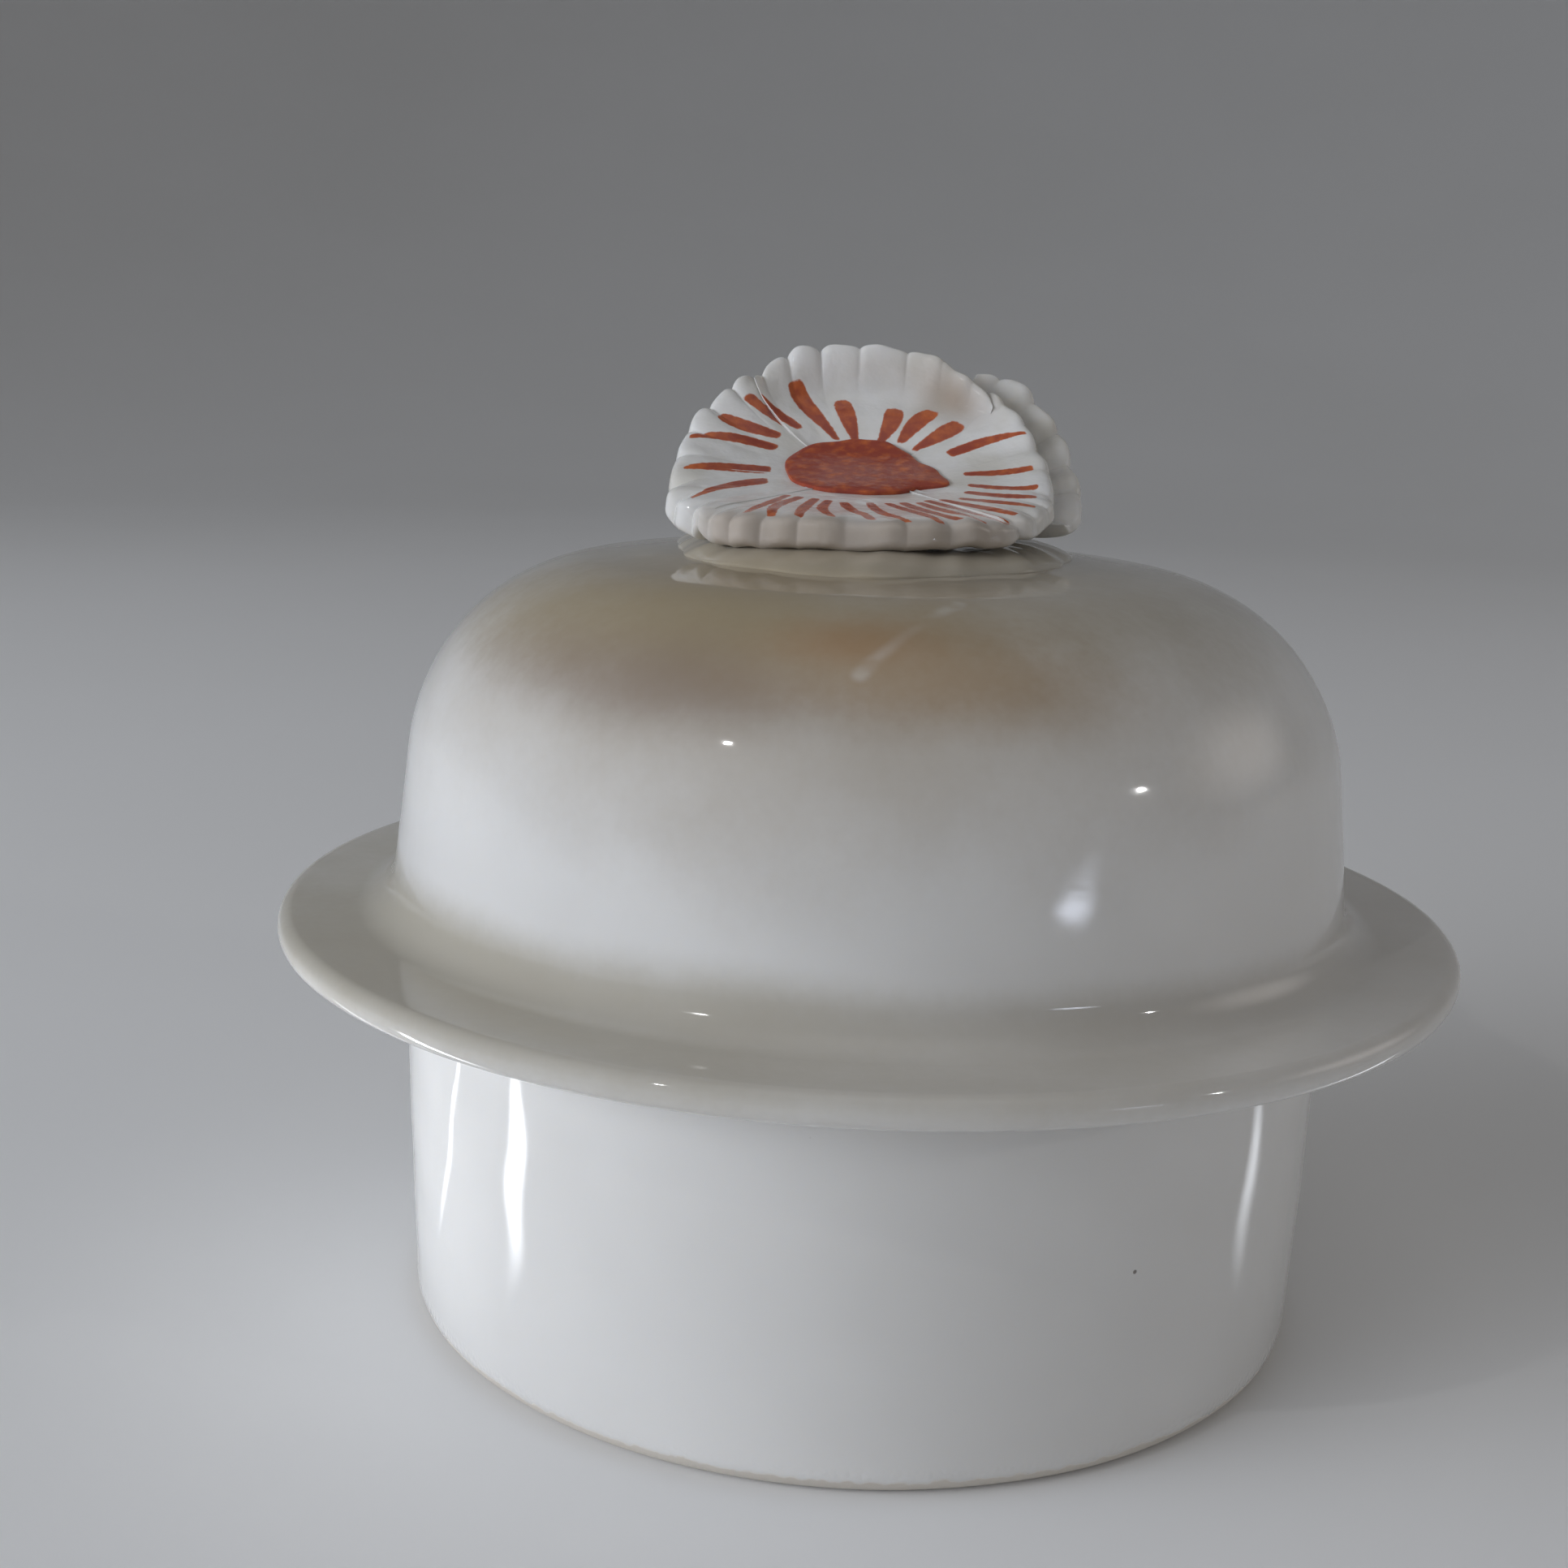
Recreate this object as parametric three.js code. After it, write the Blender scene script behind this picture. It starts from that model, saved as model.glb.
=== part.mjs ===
// Covered porcelain cream jar with a flower finial.
//
// Millimetres, +Z up. The origin is the centre of the foot, on the surface that
// the jar stands on. The flower faces -Y.
//
// The jar and the lid are two loose pieces. The lid is built the way a potter
// builds it: a domed shell with a wide brim, a collar luted under it that drops
// inside the jar's mouth, a pad on the crown, and a flower of crimped petals.

import * as THREE from 'three';
import { ParametricGeometry } from 'three/addons/geometries/ParametricGeometry.js';
import { mergeVertices } from 'three/addons/utils/BufferGeometryUtils.js';

// ---- driving dimensions ----------------------------------------------------

// Jar.
const JAR_RADIUS = 31.0; // outside, at the base
const JAR_FLARE = 0.76; // how much wider the rim is
const JAR_HEIGHT = 25.7;
const JAR_WALL = 2.8;
const JAR_FLOOR = 3.0;
const FOOT_RECESS = 1.2;
const FOOT_WIDTH = 2.8;
const FOOT_EDGE_FILLET = 1.5;
const JAR_RIM_FILLET = 0.95;
const JAR_INNER_FILLET = 4.0;

// Lid shell.
const DOME_OVERLAP = 1.0; // dome foot radius beyond the jar's rim
const DOME_HEIGHT = 24.0; // brim top to crown
const DOME_WALL = 2.6;
const DOME_DRAFT = 0.12; // inward lean of the wall, mm per mm of height
const DOME_SHOULDER = 14.0; // shoulder radius, outside
const CROWN_FALL = 0.1317; // slope of the crown outside the pad
const CROWN_BLEND = 40.0;
const BRIM_OVERHANG = 7.24; // brim edge beyond the dome's foot
const BRIM_THICKNESS = 2.0;
const BRIM_FILLET = 2.5;
const LEDGE_THICKNESS = 2.4; // inner ledge that the collar is luted to

// Collar under the lid.
const COLLAR_DEPTH = 4.4;
const COLLAR_WALL = 2.2;
const COLLAR_TAPER = 0.3;
const COLLAR_CLEARANCE = 0.7; // radial, to the jar's mouth

// Finial. Plan positions are from the lid's axis.
const PAD_RADIUS = 13.6;
const PAD_THICKNESS = 0.8;
const PAD_CENTRE = new THREE.Vector2(-0.7, -2.0);
const PAD_RAGGEDNESS = 0.35;
const EYE = new THREE.Vector2(-1.1, 0.0);
const EYE_LIFT = 1.8; // the eye above the front rim
const EYE_TILT = 0.287; // slope of the flower's floor, rising to the back
const DISH_CENTRE = new THREE.Vector2(-1.45, -2.0);
const DISH_HALF_WIDTH = 12.65;
const DISH_HALF_DEPTH = 10.6;
const DISH_SQUARENESS = 2.4; // 2 is an ellipse, more is squarer
const RIM_CLIMB = 10.8; // how much higher the rim is at the back than at the front
const RIM_RISE = 2.2; // power of the climb from front to back
const BOWL_POWER = 2.5; // how late the petals turn up
const PETAL_ROOT = 4.2; // from the eye to a petal's inner end
const PETAL_THICKNESS_ROOT = 1.0;
const PETAL_THICKNESS_RIM = 1.8;
const PETAL_CORNER = 0.06; // how far a petal's corners fall short of its rim
const FLUTE_COUNT = 30;
const FLUTE_DEPTH = 0.22;
const CENTRE_HALF_WIDTH = 5.4;
const CENTRE_HALF_DEPTH = 4.1;
const CENTRE_HEIGHT = 0.8;
const CORE_REACH = 0.5; // share of the way to the rim that the core fills
const CORE_REACH_SWING = 0.08; // more at the back, less at the front
const OUTER_PETAL_REACH = 1.1; // outer petal's rim, from the eye, in rim distances
const OUTER_PETAL_ROOT = 0.55;

// Parts that touch are kept this far apart.
const JOINT_GAP = 0.3;

// Petals, by the angle round the rim at which each begins and ends. 0 is +X.
const PETALS = {
  petal_front: [-142, -38],
  petal_right: [-38, 46],
  petal_back: [46, 128],
  petal_left: [128, 218],
};
const OUTER_PETAL = [-6, 66];

// Fineness.
const TURN_SEGMENTS = 48;
const CHORD_TOLERANCE = 0.06;
const SAMPLES_PER_FLUTE = 4;
const PETAL_LOOP = 12;
const CORE_COLUMNS = 36;
const CORE_ROWS = 8;

// ---- sizes that follow -----------------------------------------------------

const JAR_RIM_RADIUS = JAR_RADIUS + JAR_FLARE;
const JAR_MOUTH_RADIUS = JAR_RIM_RADIUS - JAR_WALL;
const BRIM_UNDERSIDE = JAR_HEIGHT + JOINT_GAP;
const BRIM_TOP = BRIM_UNDERSIDE + BRIM_THICKNESS;
const DOME_FOOT_RADIUS = JAR_RIM_RADIUS + DOME_OVERLAP;
const BRIM_RADIUS = DOME_FOOT_RADIUS + BRIM_OVERHANG;
const CROWN = BRIM_TOP + DOME_HEIGHT;
const CROWN_FLAT_RADIUS = PAD_RADIUS - 0.6;
const COLLAR_RADIUS = JAR_MOUTH_RADIUS - COLLAR_CLEARANCE;
const COLLAR_INNER_RADIUS = COLLAR_RADIUS - COLLAR_WALL;
const PAD_UNDERSIDE = CROWN + JOINT_GAP;
const PAD_TOP = PAD_UNDERSIDE + PAD_THICKNESS;
const FRONT_RIM = PAD_TOP + JOINT_GAP + PETAL_THICKNESS_RIM;
const EYE_HEIGHT = FRONT_RIM + EYE_LIFT;

// ---- finishes --------------------------------------------------------------

const glaze = { color: 0xe9e8e4, roughness: 0.12, metalness: 0 };
const creamGlaze = { color: 0xe4e0d4, roughness: 0.14, metalness: 0 };
const ironRed = { color: 0xb5472a, roughness: 0.35, metalness: 0 };

// ---- turned pieces ---------------------------------------------------------

// A corner of a turned outline: radius, height and the fillet that rounds it.
function corner(r, z, fillet = 0) {
  return { point: new THREE.Vector2(r, z), fillet };
}

// The points of one rounded corner, between the corners before and after it.
function roundedCorner(before, here, after) {
  if (here.fillet === 0) {
    return [here.point];
  }
  const arriving = here.point.clone().sub(before.point).normalize();
  const leaving = after.point.clone().sub(here.point).normalize();
  const turn = Math.atan2(arriving.cross(leaving), arriving.dot(leaving));
  const setback = here.fillet * Math.tan(Math.abs(turn) / 2);
  const start = here.point.clone().addScaledVector(arriving, -setback);
  const side = Math.sign(turn);
  const toCentre = new THREE.Vector2(-arriving.y * side, arriving.x * side);
  const centre = start.clone().addScaledVector(toCentre, here.fillet);
  const finestStep = 2 * Math.acos(1 - CHORD_TOLERANCE / here.fillet);
  const steps = Math.ceil(Math.abs(turn) / finestStep);
  const points = [];
  for (let i = 0; i <= steps; i += 1) {
    points.push(start.clone().rotateAround(centre, (turn * i) / steps));
  }
  return points;
}

// An outline from corner to corner. A closed one joins its last corner to its first.
function outline(corners, closed = false) {
  const count = corners.length;
  const points = [];
  corners.forEach((here, i) => {
    const before = corners[(i + count - 1) % count];
    const after = corners[(i + 1) % count];
    points.push(...roundedCorner(before, here, after));
  });
  if (closed) {
    points.push(points[0].clone());
  }
  return points;
}

function turned(points) {
  const geometry = new THREE.LatheGeometry(points, TURN_SEGMENTS);
  geometry.rotateX(Math.PI / 2);
  return welded(geometry);
}

// The same shape with each shared point stored once.
function welded(geometry) {
  geometry.deleteAttribute('normal');
  geometry.deleteAttribute('uv');
  const merged = mergeVertices(geometry, 1e-4);
  merged.computeVertexNormals();
  return merged;
}

// Pot with a bare foot ring, a rounded rim and a rounded inner corner.
function jarBody() {
  const footInner = JAR_RADIUS - FOOT_EDGE_FILLET - FOOT_WIDTH;
  const floor = FOOT_RECESS + JAR_FLOOR;
  return turned(outline([
    corner(0, FOOT_RECESS),
    corner(footInner, FOOT_RECESS),
    corner(footInner, 0),
    corner(JAR_RADIUS, 0, FOOT_EDGE_FILLET),
    corner(JAR_RIM_RADIUS, JAR_HEIGHT, JAR_RIM_FILLET),
    corner(JAR_MOUTH_RADIUS, JAR_HEIGHT, JAR_RIM_FILLET),
    corner(JAR_RADIUS - JAR_WALL, floor, JAR_INNER_FILLET),
    corner(0, floor),
  ]));
}

// Where the dome's wall meets its crown, on the face this far inside the outer one.
function shoulderCorner(inset) {
  const footRadius = DOME_FOOT_RADIUS - inset * Math.hypot(1, DOME_DRAFT);
  const crown = CROWN - inset * Math.hypot(1, CROWN_FALL);
  const height = crown - BRIM_TOP - CROWN_FALL * (footRadius - CROWN_FLAT_RADIUS);
  const rise = height / (1 - CROWN_FALL * DOME_DRAFT);
  return corner(footRadius - DOME_DRAFT * rise, BRIM_TOP + rise, DOME_SHOULDER - inset);
}

// Radius of the dome's inner face at a height.
function innerWallRadius(z) {
  return DOME_FOOT_RADIUS - DOME_WALL * Math.hypot(1, DOME_DRAFT) - DOME_DRAFT * (z - BRIM_TOP);
}

// Dome, brim and the ledge inside, in one wall.
function lidShell() {
  const ledgeTop = BRIM_UNDERSIDE + LEDGE_THICKNESS;
  const lip = 0.48 * BRIM_THICKNESS;
  return turned(outline([
    corner(0, CROWN - DOME_WALL),
    corner(CROWN_FLAT_RADIUS, CROWN - DOME_WALL, CROWN_BLEND),
    shoulderCorner(DOME_WALL),
    corner(innerWallRadius(ledgeTop), ledgeTop, 1.5),
    corner(COLLAR_INNER_RADIUS, ledgeTop, 0.6),
    corner(COLLAR_INNER_RADIUS, BRIM_UNDERSIDE),
    corner(BRIM_RADIUS, BRIM_UNDERSIDE, lip),
    corner(BRIM_RADIUS, BRIM_TOP, lip),
    corner(DOME_FOOT_RADIUS, BRIM_TOP, BRIM_FILLET),
    shoulderCorner(0),
    corner(CROWN_FLAT_RADIUS, CROWN, CROWN_BLEND),
    corner(0, CROWN),
  ]));
}

// Locating ring, drawn in a little towards its lower edge.
function lidCollar() {
  const top = BRIM_UNDERSIDE - JOINT_GAP;
  const bottom = BRIM_UNDERSIDE - COLLAR_DEPTH;
  const outerFoot = COLLAR_RADIUS - COLLAR_TAPER;
  return turned(outline([
    corner(COLLAR_INNER_RADIUS, bottom, 0.7),
    corner(outerFoot, bottom, 0.7),
    corner(COLLAR_RADIUS, top),
    corner(COLLAR_INNER_RADIUS, top),
  ], true));
}

// ---- pieces modelled by hand -----------------------------------------------

function signedPower(value, power) {
  return Math.sign(value) * Math.abs(value) ** power;
}

// A solid swept round the lid's axis: at each angle its section runs from the
// middle of the underside out to the edge and back over the top.
function polarSolid(sectionPoint, columns, rows) {
  const place = (u, v, target) => sectionPoint(2 * Math.PI * u, v, target);
  return welded(new ParametricGeometry(place, columns, rows));
}

// Flattened disc of clay with a ragged, feathered edge.
function finialPad() {
  const place = (angle, v, target) => {
    const ragged = Math.sin(3 * angle + 0.6) + 0.6 * Math.sin(7 * angle);
    const reach = PAD_RADIUS + PAD_RAGGEDNESS * ragged;
    const out = reach * Math.sin(Math.PI * v);
    const over = v < 0.5 ? 0 : PAD_THICKNESS * Math.abs(Math.cos(Math.PI * v)) ** 0.5;
    target.set(
      PAD_CENTRE.x + out * Math.cos(angle),
      PAD_CENTRE.y + out * Math.sin(angle),
      PAD_UNDERSIDE + over,
    );
  };
  return polarSolid(place, CORE_COLUMNS, CORE_ROWS);
}

// Plan position of the flower's rim at an angle round it.
function rimPlan(angle) {
  const power = 2 / DISH_SQUARENESS;
  return new THREE.Vector2(
    DISH_CENTRE.x + DISH_HALF_WIDTH * signedPower(Math.cos(angle), power),
    DISH_CENTRE.y + DISH_HALF_DEPTH * signedPower(Math.sin(angle), power),
  );
}

// The flower's upper face, without flutes: a dish whose floor tilts to the
// front and whose petals turn up late. share is 0 at the eye and 1 at the rim.
function dishPoint(angle, share) {
  const rim = rimPlan(angle);
  const backness = (rim.y - DISH_CENTRE.y + DISH_HALF_DEPTH) / (2 * DISH_HALF_DEPTH);
  const rimHeight = FRONT_RIM + RIM_CLIMB * Math.max(backness, 0) ** RIM_RISE;
  const floorRise = EYE_TILT * (rim.y - EYE.y);
  const turnUp = rimHeight - EYE_HEIGHT - floorRise;
  return new THREE.Vector3(
    EYE.x + share * (rim.x - EYE.x),
    EYE.y + share * (rim.y - EYE.y),
    EYE_HEIGHT + floorRise * share + turnUp * Math.max(share, 0) ** BOWL_POWER,
  );
}

// Upward normal of the dish. At the eye, where all angles meet, it is the tilted floor's.
function dishNormal(angle, share) {
  const step = 1e-3;
  if (share < 2 * step) {
    return new THREE.Vector3(0, -EYE_TILT, 1).normalize();
  }
  const out = dishPoint(angle, share + step).sub(dishPoint(angle, share - step));
  const round = dishPoint(angle + step, share).sub(dishPoint(angle - step, share));
  return out.cross(round).normalize();
}

// A point this far above the dish, or below it where the distance is negative.
function offDish(angle, share, distance) {
  return dishPoint(angle, share).addScaledVector(dishNormal(angle, share), distance);
}

// How much of the way to the rim lies within this distance of the eye.
function shareAt(angle, distance) {
  return distance / rimPlan(angle).distanceTo(EYE);
}

function petalThickness(share) {
  return THREE.MathUtils.lerp(PETAL_THICKNESS_ROOT, PETAL_THICKNESS_RIM, Math.min(share, 1));
}

// Radial crimps, deepest at the rim.
function flute(angle, share) {
  return FLUTE_DEPTH * share ** 2 * Math.cos(FLUTE_COUNT * angle);
}

// One crimped petal between two angles, thinning to nothing at its sides. Its
// section is a flattened loop between its root and its rim, sunk below the dish.
function petal([fromDegrees, toDegrees], rootShare, rimShare, sunk) {
  const from = THREE.MathUtils.degToRad(fromDegrees);
  const to = THREE.MathUtils.degToRad(toDegrees);
  const margin = JOINT_GAP / 2 / PETAL_ROOT;
  const place = (u, v, target) => {
    const angle = THREE.MathUtils.lerp(from + margin, to - margin, u);
    const root = rootShare(angle);
    const sideways = Math.abs(2 * u - 1);
    const rim = rimShare * (1 - PETAL_CORNER * sideways ** 8);
    const loop = 2 * Math.PI * v;
    const share = (rim + root) / 2 - ((rim - root) / 2) * signedPower(Math.cos(loop), 0.8);
    const body = petalThickness(share) * (1 - sideways ** 12);
    const across = -signedPower(Math.sin(loop), 0.45);
    const depth = (body * (across - 1)) / 2 + flute(angle, share) * (1 - sideways ** 12);
    target.copy(offDish(angle, share, depth - sunk));
  };
  const flutes = ((toDegrees - fromDegrees) / 360) * FLUTE_COUNT;
  const columns = Math.round(flutes * SAMPLES_PER_FLUTE);
  return welded(new ParametricGeometry(place, columns, PETAL_LOOP));
}

// Petal of the painted dish.
function dishPetal(angles) {
  return petal(angles, (angle) => shareAt(angle, PETAL_ROOT), 1, 0);
}

// Petal behind the dish, clear of the ones in front of it.
function outerPetal() {
  const sunk = PETAL_THICKNESS_RIM + 2 * FLUTE_DEPTH + JOINT_GAP;
  return petal(OUTER_PETAL, () => OUTER_PETAL_ROOT, OUTER_PETAL_REACH, sunk);
}

// Stub that the petals are wrapped round, filling the space under the dish.
function flowerCore() {
  const floor = PAD_TOP + JOINT_GAP;
  const place = (angle, v, target) => {
    const reach = CORE_REACH + CORE_REACH_SWING * Math.sin(angle);
    const share = reach * Math.sin(Math.PI * v);
    const clearance = petalThickness(share) + FLUTE_DEPTH + JOINT_GAP;
    const under = offDish(angle, share, -clearance);
    const over = v < 0.5 ? 0 : Math.min(1, 2 * Math.abs(Math.cos(Math.PI * v)) ** 0.5);
    target.set(under.x, under.y, THREE.MathUtils.lerp(floor, under.z, over));
  };
  return polarSolid(place, CORE_COLUMNS, CORE_ROWS);
}

// Raised lens at the middle of the flower.
function flowerCentre() {
  const place = (angle, v, target) => {
    const toRim = rimPlan(angle).sub(EYE).normalize();
    const radius = 1 / Math.hypot(toRim.x / CENTRE_HALF_WIDTH, toRim.y / CENTRE_HALF_DEPTH);
    const share = shareAt(angle, radius) * Math.sin(Math.PI * v);
    const over = v < 0.5 ? 0 : CENTRE_HEIGHT * Math.abs(Math.cos(Math.PI * v)) ** 0.7;
    target.copy(offDish(angle, share, JOINT_GAP + FLUTE_DEPTH / 2 + over));
  };
  return polarSolid(place, CORE_COLUMNS, CORE_ROWS);
}

// ---- assembly --------------------------------------------------------------

function piece(name, geometry, finish) {
  const mesh = new THREE.Mesh(geometry, new THREE.MeshStandardMaterial(finish));
  mesh.name = name;
  return mesh;
}

function lid() {
  const group = new THREE.Group();
  group.add(piece('lid_shell', lidShell(), glaze));
  group.add(piece('lid_collar', lidCollar(), glaze));
  group.add(piece('finial_pad', finialPad(), creamGlaze));
  group.add(piece('flower_core', flowerCore(), creamGlaze));
  group.add(piece('flower_centre', flowerCentre(), ironRed));
  for (const [name, angles] of Object.entries(PETALS)) {
    group.add(piece(name, dishPetal(angles), creamGlaze));
  }
  group.add(piece('petal_outer', outerPetal(), creamGlaze));
  return group;
}

const creamJar = new THREE.Group();
creamJar.add(piece('jar_body', jarBody(), glaze));
creamJar.add(lid());

export default creamJar;
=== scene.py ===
# %% [markdown]
# # A covered porcelain cream jar
#
# A round glazed pot with a bell-shaped lid, a wide brim and a flower for a knob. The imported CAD
# model is loaded first and never moved: it holds the sizes, the two bodies (jar and lid) and the
# lift of the lid. Everything seen in the picture is a finer surface laid over those solids.

# %% Load the frame
import math

import bpy
import numpy as np
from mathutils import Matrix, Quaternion, Vector


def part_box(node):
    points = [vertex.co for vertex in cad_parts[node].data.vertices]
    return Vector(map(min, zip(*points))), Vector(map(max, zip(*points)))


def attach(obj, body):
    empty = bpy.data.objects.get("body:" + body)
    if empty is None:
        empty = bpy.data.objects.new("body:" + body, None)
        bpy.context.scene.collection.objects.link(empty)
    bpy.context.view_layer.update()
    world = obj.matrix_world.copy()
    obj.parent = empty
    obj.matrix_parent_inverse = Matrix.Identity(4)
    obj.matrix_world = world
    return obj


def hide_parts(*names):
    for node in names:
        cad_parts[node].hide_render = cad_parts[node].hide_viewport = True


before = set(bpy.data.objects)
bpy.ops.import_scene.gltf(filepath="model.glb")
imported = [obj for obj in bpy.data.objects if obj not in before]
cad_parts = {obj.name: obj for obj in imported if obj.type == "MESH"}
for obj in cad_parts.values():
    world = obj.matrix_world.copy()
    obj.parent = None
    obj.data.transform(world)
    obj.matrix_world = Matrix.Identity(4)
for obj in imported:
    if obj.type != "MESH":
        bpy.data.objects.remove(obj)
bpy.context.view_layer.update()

# %% [markdown]
# ## Sizes
#
# Lengths are worked out in millimetres, as a potter would state them, and turned to metres only
# when a mesh is made. Each one is read off the CAD solids: the foot's radius from the jar, the
# brim's from the lid, and so on. What the boxes can't give (walls, fillets, the flower's curves)
# is stated here once.

# %% Sizes read from the CAD solids
MM = 0.001


def corners(node):
    """Lowest and highest corner of a CAD solid, in millimetres."""
    low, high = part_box(node)
    return np.array(low) / MM, np.array(high) / MM


_, jar_high = corners("jar_body")
lid_low, lid_high = corners("lid_shell")
collar_low, collar_high = corners("lid_collar")
_, pad_high = corners("finial_pad")

rim_radius = jar_high[0]
jar_height = jar_high[2]
brim_radius = lid_high[0]
brim_underside = lid_low[2]
crown = lid_high[2]
collar_radius = collar_high[0]
collar_foot = collar_low[2]
pad_top = pad_high[2]

print(f"jar {2 * rim_radius:.1f} x {jar_height:.1f} mm, brim {2 * brim_radius:.1f} mm")

# %% [markdown]
# ## Surfaces from grids
#
# Every piece here is a grid of points: rows along a section and columns round or across the piece.
# A subdivided cage could give such forms too, but a grid worked out with numpy states the shape
# exactly and lets the glaze, the crimps and the painted strokes use the same two numbers.
# Rows that shrink to one point become a pole, so that the mesh is closed and has no doubles.

# %% Grid to mesh


def surface(name, points, around=True, loop=False, poles=(False, False), fields=None):
    """Makes a smooth mesh object from a (rows, columns, 3) grid in millimetres.

    around joins the last column to the first, loop joins the last row to the first, and poles
    says whether the first and last row each shrink to one point. A grid that loops but doesn't
    go around is a bent tube, and each of its two ends is closed with one face. fields are named
    values, one for each grid point, kept on the mesh for the materials to read.
    """
    rows, columns = points.shape[:2]
    index = np.arange(rows * columns).reshape(rows, columns)
    if poles[0]:
        index[0] = index[0, 0]
    if poles[1]:
        index[-1] = index[-1, 0]
    if around:
        index = np.column_stack([index, index[:, 0]])
    if loop:
        index = np.vstack([index, index[0]])
    quads = np.stack([index[:-1, :-1], index[:-1, 1:], index[1:, 1:], index[1:, :-1]], -1)
    quads = quads.reshape(-1, 4)
    used, quads = np.unique(quads, return_inverse=True)
    quads = quads.reshape(-1, 4)
    at_first = quads[:, 0] == quads[:, 1]
    at_last = quads[:, 2] == quads[:, 3]
    faces = quads[~at_first & ~at_last].tolist()
    faces += quads[at_first][:, [0, 2, 3]].tolist()
    faces += quads[at_last][:, [0, 1, 2]].tolist()
    if loop and not around:
        faces += [index[:-1, 0].tolist(), index[-2::-1, -1].tolist()]
    mesh = bpy.data.meshes.new(name)
    mesh.from_pydata((points.reshape(-1, 3)[used] * MM).tolist(), [], faces)
    mesh.polygons.foreach_set("use_smooth", np.ones(len(faces), bool))
    for field, values in (fields or {}).items():
        kept = np.ascontiguousarray(np.broadcast_to(values, (rows, columns)).reshape(-1)[used])
        layer = mesh.attributes.new(field, "FLOAT", "POINT")
        layer.data.foreach_set("value", kept.astype(np.float32))
    mesh.update()
    made = bpy.data.objects.new(name, mesh)
    bpy.context.scene.collection.objects.link(made)
    print(f"{name}: {len(used)} points, {len(faces)} faces")
    return made


# %% [markdown]
# ## Turned outlines
#
# The jar, the lid and its collar are thrown on a wheel, so each is one outline carried round the
# axis. Blender's Screw modifier would do it too, but numbers say where every fillet starts. The
# outline is given by its few corners and the radius that rounds each one, then spaced out evenly
# so that the surface has the same fineness everywhere. A thrown pot is never a perfect lathe
# form: the radius wanders inwards by up to a tenth of a millimetre, which is what makes
# reflections in old porcelain waver.

# %% Outlines and turning


def rounded(corner_list, step=6.0):
    """Outline through (radius, height, fillet) corners, each replaced by an arc of its fillet.

    The arc touches both neighbouring sides: it starts fillet * tan(turn / 2) before the corner.
    """
    spots = np.array([c[:2] for c in corner_list], float)
    points = [spots[0]]
    for before, here, after, (_, _, fillet) in zip(spots, spots[1:], spots[2:], corner_list[1:-1]):
        arriving = (here - before) / np.linalg.norm(here - before)
        leaving = (after - here) / np.linalg.norm(after - here)
        turn = math.atan2(arriving[0] * leaving[1] - arriving[1] * leaving[0], arriving @ leaving)
        start = here - arriving * fillet * math.tan(abs(turn) / 2)
        inward = np.array([-arriving[1], arriving[0]]) * math.copysign(1, turn)
        centre = start + inward * fillet
        count = max(2, math.ceil(math.degrees(abs(turn)) / step) + 1)
        swing = np.linspace(0, turn, count)[:, None]
        spoke = start - centre
        across = np.array([-spoke[1], spoke[0]])
        points.extend(centre + spoke * np.cos(swing) + across * np.sin(swing))
    points.append(spots[-1])
    return np.array(points)


def evened(outline, spacing):
    """The same outline with extra points, so that no two are further apart than spacing."""
    pieces = []
    for a, b in zip(outline, outline[1:]):
        count = max(1, math.ceil(np.linalg.norm(b - a) / spacing))
        pieces.append(a + (b - a) * np.linspace(0, 1, count, endpoint=False)[:, None])
    return np.vstack([*pieces, outline[-1:]])


def turned(outline, columns=288, waver=0.03):
    """Outline carried round the Z axis, its radius wavering slowly with angle and height.

    Three sine waves of the angle and the height are added up, and their largest sum is taken
    away, so the wall only ever moves inwards.
    """
    angle = np.linspace(0, 2 * np.pi, columns, endpoint=False)[None, :]
    r, z = outline[:, :1], outline[:, 1:]
    drift = (
        np.sin(3 * angle + 0.21 * z)
        + 0.7 * np.sin(7 * angle - 0.45 * z + 1.3)
        + 0.5 * np.sin(13 * angle + 0.8 * z + 2.1)
    )
    largest = 1 + 0.7 + 0.5
    radius = r + waver * (drift - largest) * np.clip(r / rim_radius, 0, 1)
    return np.stack([radius * np.cos(angle), radius * np.sin(angle), z + 0 * angle], -1)


# %% [markdown]
# ## The jar
#
# A short, slightly flared pot. It stands on a bare ring: glaze would weld it to the kiln shelf, so
# the potter wipes the foot clean and the glaze ends in a thin, bubbly line just above it. A
# cylinder with extruded and bevelled edges would come close. One outline from the recess under
# the foot, up the wall and down into the well keeps the wall's thickness exact.

# %% Jar
JAR_WALL = 2.8
JAR_FLOOR = 3.0
FOOT_RECESS = 1.2
FOOT_FILLET = 1.5
FOOT_WIDTH = 2.8
JAR_FLARE = 0.76
LIP_FILLET = 0.95
WELL_FILLET = 4.0
base_radius = rim_radius - JAR_FLARE
foot_inner = base_radius - FOOT_FILLET - FOOT_WIDTH
floor_height = FOOT_RECESS + JAR_FLOOR

jar_outline = evened(
    rounded([
        (0, FOOT_RECESS, 0),
        (foot_inner, FOOT_RECESS, 0.3),
        (foot_inner, 0, 0.25),
        (base_radius, 0, FOOT_FILLET),
        (rim_radius, jar_height, LIP_FILLET),
        (rim_radius - JAR_WALL, jar_height, LIP_FILLET),
        (base_radius - JAR_WALL, floor_height, WELL_FILLET),
        (0, floor_height, 0),
    ]),
    spacing=0.7,
)
jar = surface("jar", turned(jar_outline), poles=(True, True))
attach(jar, "jar")
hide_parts("jar_body")

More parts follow.
